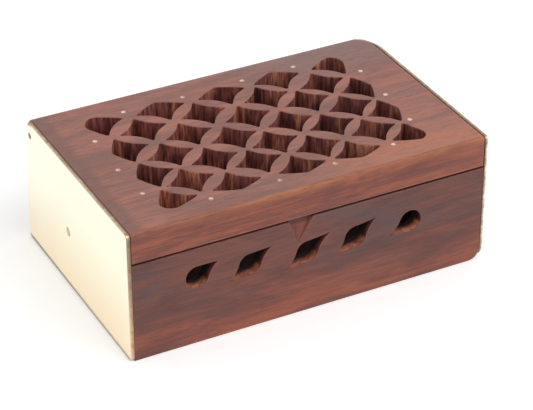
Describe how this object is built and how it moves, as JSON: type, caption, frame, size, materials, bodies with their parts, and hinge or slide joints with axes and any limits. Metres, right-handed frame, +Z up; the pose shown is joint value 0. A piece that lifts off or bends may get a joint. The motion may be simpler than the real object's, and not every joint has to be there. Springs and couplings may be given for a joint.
{
  "type": "spice box",
  "caption": "Rectangular wooden besamim spice box with a pierced lattice lid on pin hinges, leaf-shaped front vents, a fingernail notch and nailed brass end plates.",
  "frame": {"origin": "middle of the underside, on the surface that the box stands on", "axes": "+X along the box to the right, seen from the front; +Y to the back, where the lid hinges; +Z up"},
  "size_m": [0.1, 0.064, 0.0363],
  "materials": {
    "lid_wood": "sanded and waxed rosewood",
    "box_wood": "sanded and waxed rosewood",
    "brass_sheet": "satin",
    "brass_wire": "cut and sanded flush"
  },
  "bodies": {
    "base": {"front_wall": "box_wood", "back_wall": "box_wood", "left_end_wall": "box_wood", "right_end_wall": "box_wood", "bottom_board": "box_wood", "left_end_plate": "brass_sheet", "right_end_plate": "brass_sheet", "left_plate_nail": "brass_wire", "right_plate_nail": "brass_wire"},
    "lid": {"lid_panel": "lid_wood", "left_hinge_pin": "brass_wire", "right_hinge_pin": "brass_wire", "rear_pegs": "brass_wire", "front_pegs": "brass_wire", "left_pegs": "brass_wire", "right_pegs": "brass_wire"}
  },
  "joints": [
    {"name": "lid_hinge", "type": "hinge", "parent": "base", "child": "lid", "pos_m": [0, 0.0276, 0.03265], "axis": [-1, 0, 0], "range_deg": [0, 192]}
  ]
}
